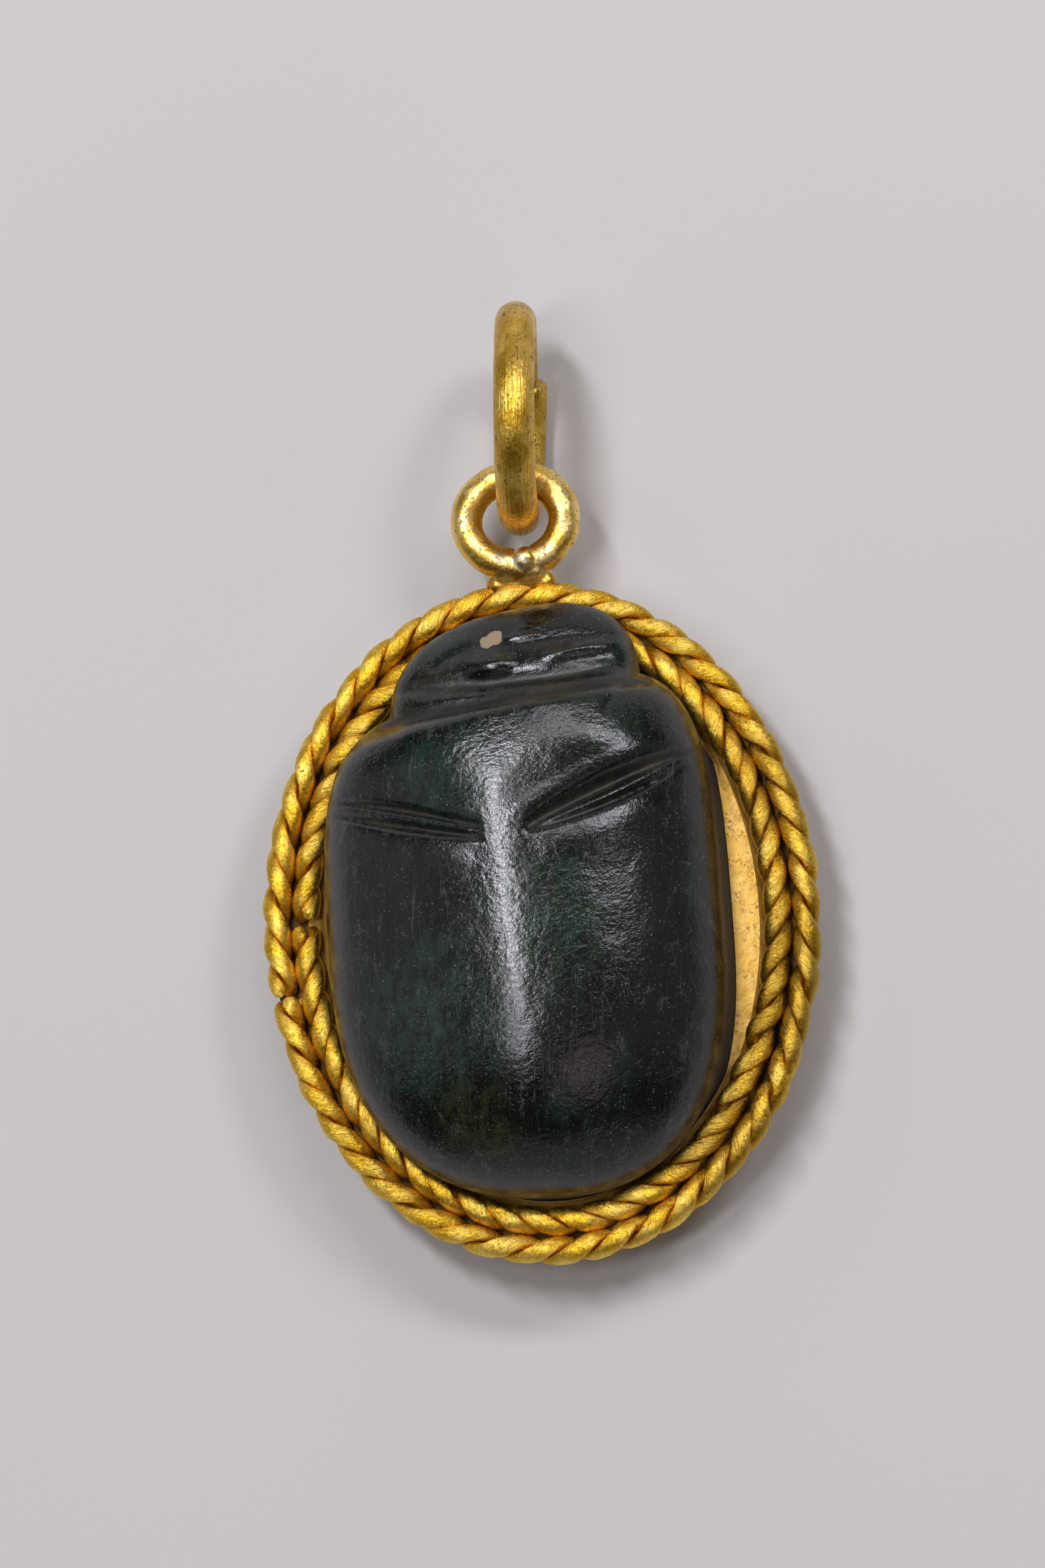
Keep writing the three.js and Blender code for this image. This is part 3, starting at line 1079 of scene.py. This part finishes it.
@dataclass
class Bezel:
    """The sheet-gold setting: a collar round the foot of the stone and a flange with a fine inner ridge."""

    stone: Scarab
    gap: float = 0.004
    collar: float = 0.3
    flange_bottom: float = 2.1
    flange_top: float = 2.53
    rounding: float = 0.06
    edge: Oval = Oval(8.2, 10.1)
    ridge: Oval = Oval(6.58, 8.49)
    ridge_height: float = 0.13
    steps: int = 360

    def _profile(self) -> list[Point]:
        """The section, clockwise from the foot of the stone.

        Returns:
            Places outwards with their heights: 0 is at the stone, 1 the collar, 2 the ridge and 3 the edge.
        """
        bottom, top, rounding = self.flange_bottom, self.flange_top, self.rounding
        inside = [(0.0, 0.1), (0.0, 0.8), (0.0, 1.6)]
        dish = [(0.0, top + 0.07), (0.1, top + 0.068), (0.6, top + 0.05), (1.2, top + 0.02)]
        bead = [(1.8, 0.0), (1.88, 0.3), (1.94, 0.85), (1.98, 1.0), (2.02, 0.85), (2.06, 0.25), (2.12, 0.0)]
        ridge = [(place, top + share * self.ridge_height) for place, share in bead]
        shelf = [(2.4, top), (2.7, top), (2.94, top)]
        upper_edge = [(2.985, top - 0.4 * rounding), (3.0, top - rounding)]
        lower_edge = [(3.0, bottom + rounding), (2.985, bottom + 0.4 * rounding)]
        under = [(2.94, bottom), (2.2, bottom), (1.5, bottom), (1.1, bottom - 0.02), (1.0, bottom - 0.12)]
        collar = [(1.0, 1.2), (1.0, 0.5), (1.0, 0.06), (0.9, 0.0), (0.1, 0.0)]
        return inside + dish + ridge + shelf + upper_edge + lower_edge + under + collar

    def build(self, material: Material) -> Object:
        """Spins the section, then draws it out to the stone's foot, the ridge and the oval edge.

        Args:
            material: the sheet's finish.

        Returns:
            The piece.
        """
        section = [(1.0 + place, height) for place, height in self._profile()]
        bm = spin_round(section, self.steps, closed=True)
        angle, distance, height = read_polar(bm)
        place = distance - 1.0
        foot = self.stone.foot_radius(angle) + self.gap
        ridge = self.stone.reach_to(self.ridge, angle)
        edge = self.stone.reach_to(self.edge, angle)
        to_ridge, past_ridge = np.clip(place / 2.0, 0.0, 1.0), np.clip(place - 2.0, 0.0, 1.0)
        upper = foot + (ridge - foot) * to_ridge + (edge - ridge) * past_ridge
        in_collar, past_collar = np.clip(place, 0.0, 1.0), np.clip((place - 1.0) / 2.0, 0.0, 1.0)
        lower = foot + self.collar * in_collar + (edge - foot - self.collar) * past_collar
        radius = np.where(height > (self.flange_bottom + self.flange_top) / 2.0, upper, lower)
        x, y = self.stone.around(angle, radius)
        move_vertices(bm, np.column_stack([x, y, height]))
        # Painted shade, with some grime: the flange outside the ridge, under the ropes, is marked as a hollow.
        above = smoothstep(height, self.flange_bottom + 0.2, self.flange_top)
        store_layer(bm, "hollow_shade", 1.2 * smoothstep(place, 2.15, 2.4) * above)
        return finish_piece(bm, "bezel_sheet", material, "bezel")


@dataclass
class Rope:
    """A border rope of two twisted strands, laid once round the mount.

    A twist of 1 or -1 is its hand. It begins and ends at the seam, a fraction of the way round, with an opening
    in millimetres. At each of the holes, an angle in degrees with an amount, it shifts outwards by the part.
    The tops of its turns are worn down from the height worn_from.
    """

    name: str
    half_width: float
    half_length: float
    twist: int
    seam: float
    opening: float
    part: float = 0.0
    holes: tuple[Point, ...] = (
        (7.3, 0.8),
        (-12.3, 0.9),
        (-25.6, 1.7),
        (-34.0, 1.5),
        (-41.3, 1.2),
        (-70.6, 1.0),
        (148.0, 0.6),
        (205.0, 0.7),
    )
    hole_reach: float = 0.04
    turns: float = 24.0
    level: float = ROPE_LEVEL
    strand: float = 0.214
    reach: float = 0.222
    widening: float = 1.34
    worn_from: float = 3.34
    rings_per_turn: int = 20

    def _middle(self, along: np.ndarray) -> tuple[np.ndarray, np.ndarray]:
        """Follows the rope's middle line.

        Args:
            along: fractions of the way round.

        Returns:
            The places, and the outward direction at each.
        """
        fine = np.linspace(0.0, TURN, 4001)
        oval = np.column_stack([self.half_width * np.cos(fine), self.half_length * np.sin(fine)])
        run = np.concatenate([[0.0], np.cumsum(np.linalg.norm(np.diff(oval, axis=0), axis=1))])
        angle = np.interp(np.mod(along, 1.0) * run[-1], run, fine)
        middle = np.column_stack([self.half_width * np.cos(angle), self.half_length * np.sin(angle)])
        outward = np.column_stack([self.half_length * np.cos(angle), self.half_width * np.sin(angle)])
        outward /= np.linalg.norm(outward, axis=1)[:, None]
        ease = np.zeros_like(angle)
        for at, amount in self.holes:
            turned = np.mod(angle - math.radians(at) + math.pi, TURN) - math.pi
            ease += self.part * amount * np.exp(-((turned / self.hole_reach) ** 2))
        return middle + outward * ease[:, None], outward

    def _strand(self, phase: float, seed: float) -> BMesh:
        """Bends one strand, wears it and marks its hollows.

        Args:
            phase: the angle it starts at in the twist.
            seed: sets its unevenness.

        Returns:
            The strand's mesh.
        """
        count = int(self.turns * self.rings_per_turn) + 1
        length = math.pi * (self.half_width + self.half_length)
        shift = self.opening / length / 2.0
        along = self.seam + shift + (1.0 - 2.0 * shift) * np.linspace(0.0, 1.0, count)
        middle, outward = self._middle(along)
        round_way = (along - self.seam) * TURN
        uneven = 0.22 * np.sin(3.0 * round_way + seed) + 0.12 * np.sin(7.0 * round_way + 2.0 * seed)
        angle = phase + self.twist * self.turns * round_way + uneven
        out = np.column_stack([outward * np.sin(angle)[:, None], np.cos(angle)])
        centres = np.column_stack([middle, np.full(count, self.level)]) + out * self.reach
        radii = self.strand * (1.0 + 0.05 * np.sin(5.0 * round_way + 4.0 * seed))
        bm = Wire(centres, out, radii * smooth_ends(count, 3, 0.3), 18, self.widening).build()
        weather(bm, 0.55, 0.034, 3.0 * seed)
        weather(bm, 0.19, 0.014, 5.0 * seed)
        places = read_vertices(bm)
        worn = np.maximum(places[:, 2] - self.worn_from, 0.0)
        places[:, 2] -= worn * 0.4
        move_vertices(bm, places)
        # Painted shade: the strands' sides that face each other, and their undersides, are marked as hollows.
        facing = read_layer(bm, "turn_a")
        low = smoothstep(self.level - places[:, 2], -0.12, 0.3)
        store_layer(bm, "hollow_shade", np.clip(smoothstep(-facing, -0.15, 0.95) + 0.75 * low, 0.0, 1.0))
        return bm

    def build(self, material: Material) -> list[Object]:
        """Builds both strands.

        Args:
            material: the wire's finish.

        Returns:
            The two pieces.
        """
        pieces = []
        for number in (1, 2):
            bm = self._strand(math.pi * (number - 1), number + self.half_width)
            name = f"{self.name}_strand_{number}"
            pieces.append(finish_piece(bm, f"{name}_wire", material, name))
        return pieces


# ---- Loop and ring ----


def fuse(bm: BMesh, voxel: float, rounds: int) -> BMesh:
    """Fuses overlapping closed shells into one smooth skin.

    Args:
        bm: the shells, in millimetres; it is freed.
        voxel: the size of the skin's faces.
        rounds: how often the skin is smoothed.

    Returns:
        The fused mesh.
    """
    mesh = bpy.data.meshes.new("fusing")
    bm.to_mesh(mesh)
    bm.free()
    carrier = bpy.data.objects.new("fusing", mesh)
    bpy.context.scene.collection.objects.link(carrier)
    remesh = carrier.modifiers.new("skin", "REMESH")
    remesh.mode = "VOXEL"
    remesh.voxel_size = voxel
    smooth = carrier.modifiers.new("smooth", "SMOOTH")
    smooth.iterations = rounds
    smooth.factor = 0.5
    graph = bpy.context.evaluated_depsgraph_get()
    fused = bmesh.new()
    fused.from_mesh(carrier.evaluated_get(graph).to_mesh())
    bpy.data.objects.remove(carrier)
    bpy.data.meshes.remove(mesh)
    return fused


@dataclass
class SuspensionLoop:
    """The small wire loop in the plane of the pendant, with its ends and foot flooded by solder.

    The ends of the wire meet at the join, an angle in degrees, with an opening of a few degrees. The loop is
    painted darker where it lies below a set line, towards its join with the rope.
    """

    centre: Place = (0.08, 12.18, 3.1)
    half_width: float = 1.48
    half_length: float = 1.34
    wire: float = 0.49
    opening: float = 8.0
    join: float = -82.0
    rings: int = 90
    darker_below: float = 10.75

    def build(self, material: Material) -> Object:
        """Bends the wire, adds the solder and fuses them.

        Args:
            material: the loop's finish.

        Returns:
            The piece.
        """
        first, last = self.join + self.opening / 2.0, self.join + 360.0 - self.opening / 2.0
        angle = np.radians(np.linspace(first, last, self.rings))
        out = np.column_stack([np.cos(angle), np.sin(angle), np.zeros(self.rings)])
        centres = np.array(self.centre) + out * np.array([self.half_width, self.half_length, 0.0])
        thickness = self.wire * (1.0 + 0.02 * np.sin(3.0 * angle))
        bm = Wire(centres, out, thickness * smooth_ends(self.rings, 5, 0.6), 24).build()
        self._add_solder(bm)
        bm = fuse(bm, 0.045, 4)
        weather(bm, 0.55, 0.03, 3.1)
        places = read_vertices(bm)
        # Painted darker below the line, towards the rope, through the hollows' layer.
        store_layer(bm, "hollow_shade", 0.75 * smoothstep(self.darker_below - places[:, 1], 0.0, 0.5))
        return finish_piece(bm, "suspension_loop_soldered", material, "suspension_loop")

    @staticmethod
    def _add_solder(bm: BMesh) -> None:
        """Adds the lumps of solder, each a place and a radius.

        Args:
            bm: the loop's mesh.
        """
        rope_bow = 0.04
        along_rope = [(x, 10.3 - rope_bow * x * x, 2.98, 0.33) for x in np.linspace(-0.62, 0.86, 10)]
        foot = [(x, 10.5, 3.02, 0.37) for x in np.linspace(-0.42, 0.68, 9)]
        neck = [(x, 10.68, 3.08, 0.4) for x in np.linspace(-0.4, 0.62, 8)]
        wire_ends = [(0.32, 10.93, 3.3, 0.42), (0.1, 10.75, 3.15, 0.45), (-0.28, 10.93, 3.22, 0.38)]
        for x, y, z, radius in along_rope + foot + neck + wire_ends:
            place = Matrix.Translation((x, y, z))
            bmesh.ops.create_icosphere(bm, subdivisions=2, radius=radius, matrix=place)


@dataclass
class JumpRing:
    """The larger open ring of thick wire, upright through the loop.

    It leans sideways and is turned about the upright, and its ends stand at ends_at, all in degrees. One end
    is a step to the side of the other.
    """

    centre: Place = (0.45, 15.18, 3.56)
    radius: float = 2.92
    wire: float = 0.61
    lean: float = 4.7
    turn: float = 5.5
    ends_at: float = 303.0
    opening: float = 0.8
    step: float = 0.3
    rings: int = 220

    def build(self, material: Material) -> Object:
        """Bends the wire round, with its two ends stepped sideways.

        Args:
            material: the ring's finish.

        Returns:
            The piece.
        """
        share = np.linspace(0.0, 1.0, self.rings)
        angle = np.radians(self.ends_at + self.opening / 2.0 + share * (360.0 - self.opening))
        lean, turn = math.radians(self.lean), math.radians(self.turn)
        top = np.array([math.sin(lean), math.cos(lean), 0.0])
        front = np.array([math.sin(turn), 0.0, math.cos(turn)])
        out = np.cos(angle)[:, None] * top + np.sin(angle)[:, None] * front
        centres = np.array(self.centre) + out * self.radius
        centres[:, 0] += self.step * (share - 0.5)
        radii = self.wire * (1.0 + 0.008 * np.sin(5.0 * angle)) * smooth_ends(self.rings, 2, 0.86)
        bm = Wire(centres, out, radii, 40).build()
        weather(bm, 0.8, 0.012, 7.7)
        # Painted shade: the inside of the ring, facing its middle, is marked as a hollow.
        facing = read_layer(bm, "turn_a")
        store_layer(bm, "hollow_shade", 0.35 * smoothstep(-facing, 0.2, 1.0))
        return finish_piece(bm, "jump_ring_wire", material, "jump_ring")


# ---- Camera, floor and light ----


@dataclass(frozen=True)
class Softbox:
    """One rectangular light aimed at the origin, with its place and size in millimetres."""

    name: str
    place: Place
    size: Point
    watts: float
    colour: Colour

    def hang(self) -> None:
        """Adds the light to the scene."""
        data = bpy.data.lights.new(self.name, "AREA")
        data.shape = "RECTANGLE"
        data.size, data.size_y = self.size[0] * MM, self.size[1] * MM
        data.energy = self.watts
        data.color = self.colour
        light = bpy.data.objects.new(self.name, data)
        light.location = Vector(self.place) * MM
        light.rotation_euler = Vector(self.place).to_track_quat("Z", "Y").to_euler()
        bpy.context.scene.collection.objects.link(light)


LIGHTS = (
    Softbox("keel_strip", (-48, 72, 300), (28, 98), 0.43, (0.95, 0.93, 1.0)),
    Softbox("tail_strip", (-48, -30, 300), (28, 110), 0.17, (0.95, 0.93, 1.0)),
    Softbox("left_box", (-330, 20, 105), (280, 560), 0.17, (1.0, 0.98, 0.97)),
    Softbox("right_box", (330, -10, 100), (280, 560), 0.1, (1.0, 0.98, 0.96)),
    Softbox("far_box", (0, 340, 100), (560, 240), 0.25, (0.98, 0.98, 1.0)),
    Softbox("shoulder_box", (165, 128, 256), (66, 70), 0.25, (0.95, 0.93, 1.0)),
    Softbox("crown_box", (50, 160, 280), (120, 44), 0.15, (0.95, 0.93, 1.0)),
    Softbox("rump_box", (115, -122, 284), (110, 60), 0.035, (1.0, 0.86, 0.8)),
    Softbox("near_box", (20, -340, 80), (560, 180), 0.11, (1.0, 0.97, 0.95)),
)


@dataclass
class Studio:
    """A pale floor, soft lights and a camera that looks down from a little to the right and below.

    Angles are in degrees. frame_height is what the picture takes in at the target, and sensor is the film's
    height, both in millimetres.
    """

    target: Place = (-0.27, 4.19, 3.0)
    distance: float = 250.0
    from_right: float = 7.0
    from_below: float = 9.0
    roll: float = 4.0
    frame_height: float = 46.9
    sensor: float = 36.0

    def build(self) -> None:
        """Places everything."""
        self._camera()
        self._floor()
        self._world()
        for light in LIGHTS:
            light.hang()

    def _camera(self) -> None:
        """Aims the camera at the target."""
        toward = Vector((
            math.sin(math.radians(self.from_right)),
            -math.sin(math.radians(self.from_below)),
            math.cos(math.radians(math.hypot(self.from_right, self.from_below))),
        )).normalized()
        roll = math.radians(self.roll)
        up = Vector((math.sin(roll), math.cos(roll), 0.0))
        right = up.cross(toward).normalized()
        up = toward.cross(right)
        turn = Matrix((right, up, toward)).transposed().to_4x4()
        target = Vector(self.target) * MM
        data = bpy.data.cameras.new("camera")
        data.sensor_fit = "VERTICAL"
        data.sensor_height = self.sensor
        data.lens = self.sensor * self.distance / self.frame_height
        data.clip_start = 0.01
        camera = bpy.data.objects.new("camera", data)
        camera.matrix_world = Matrix.Translation(target + toward * self.distance * MM) @ turn
        bpy.context.scene.collection.objects.link(camera)
        bpy.context.scene.camera = camera

    @staticmethod
    def _floor() -> None:
        """Lays the plain floor just under the pendant."""
        surface = Surface("pale_floor")
        shade = surface.blend(surface.noise(0.02, 2.0), (0.56, 0.55, 0.53), (0.6, 0.59, 0.57))
        material = surface.feed(Base_Color=shade, Roughness=0.9)
        bm = bmesh.new()
        just_under = Matrix.Translation((0, 0, -0.02 * MM))
        bmesh.ops.create_grid(bm, x_segments=1, y_segments=1, size=2.0, matrix=just_under)
        mesh = bpy.data.meshes.new("floor")
        bm.to_mesh(mesh)
        bm.free()
        mesh.materials.append(material)
        floor = bpy.data.objects.new("floor", mesh)
        bpy.context.scene.collection.objects.link(floor)

    @staticmethod
    def _world() -> None:
        """Sets a dim, even surround."""
        world = bpy.data.worlds.new("studio")
        world.use_nodes = True
        world.node_tree.nodes["Background"].inputs["Color"].default_value = (0.035, 0.035, 0.036, 1.0)
        bpy.context.scene.world = world
        bpy.context.scene.view_settings.view_transform = "Standard"


# ---- The pendant ----


def main() -> None:
    """Builds the studio and every piece of the pendant."""
    logging.basicConfig(level=logging.INFO, format="%(name)s: %(message)s")
    Studio().build()
    golds = {slot: finish.make() for slot, finish in GOLDS.items()}
    stone = Scarab()
    stone.build(StoneFinish().make())
    Bezel(stone).build(golds[Slot.SHEET])
    Rope("inner_rope", 7.09, 9.0, 1, 0.489, 0.22, -0.06).build(golds[Slot.WIRE])
    Rope("outer_rope", 7.95, 9.86, -1, 0.529, 0.1, 0.04).build(golds[Slot.WIRE])
    SuspensionLoop().build(golds[Slot.LOOP])
    JumpRing().build(golds[Slot.RING])


if __name__ == "__main__":
    main()
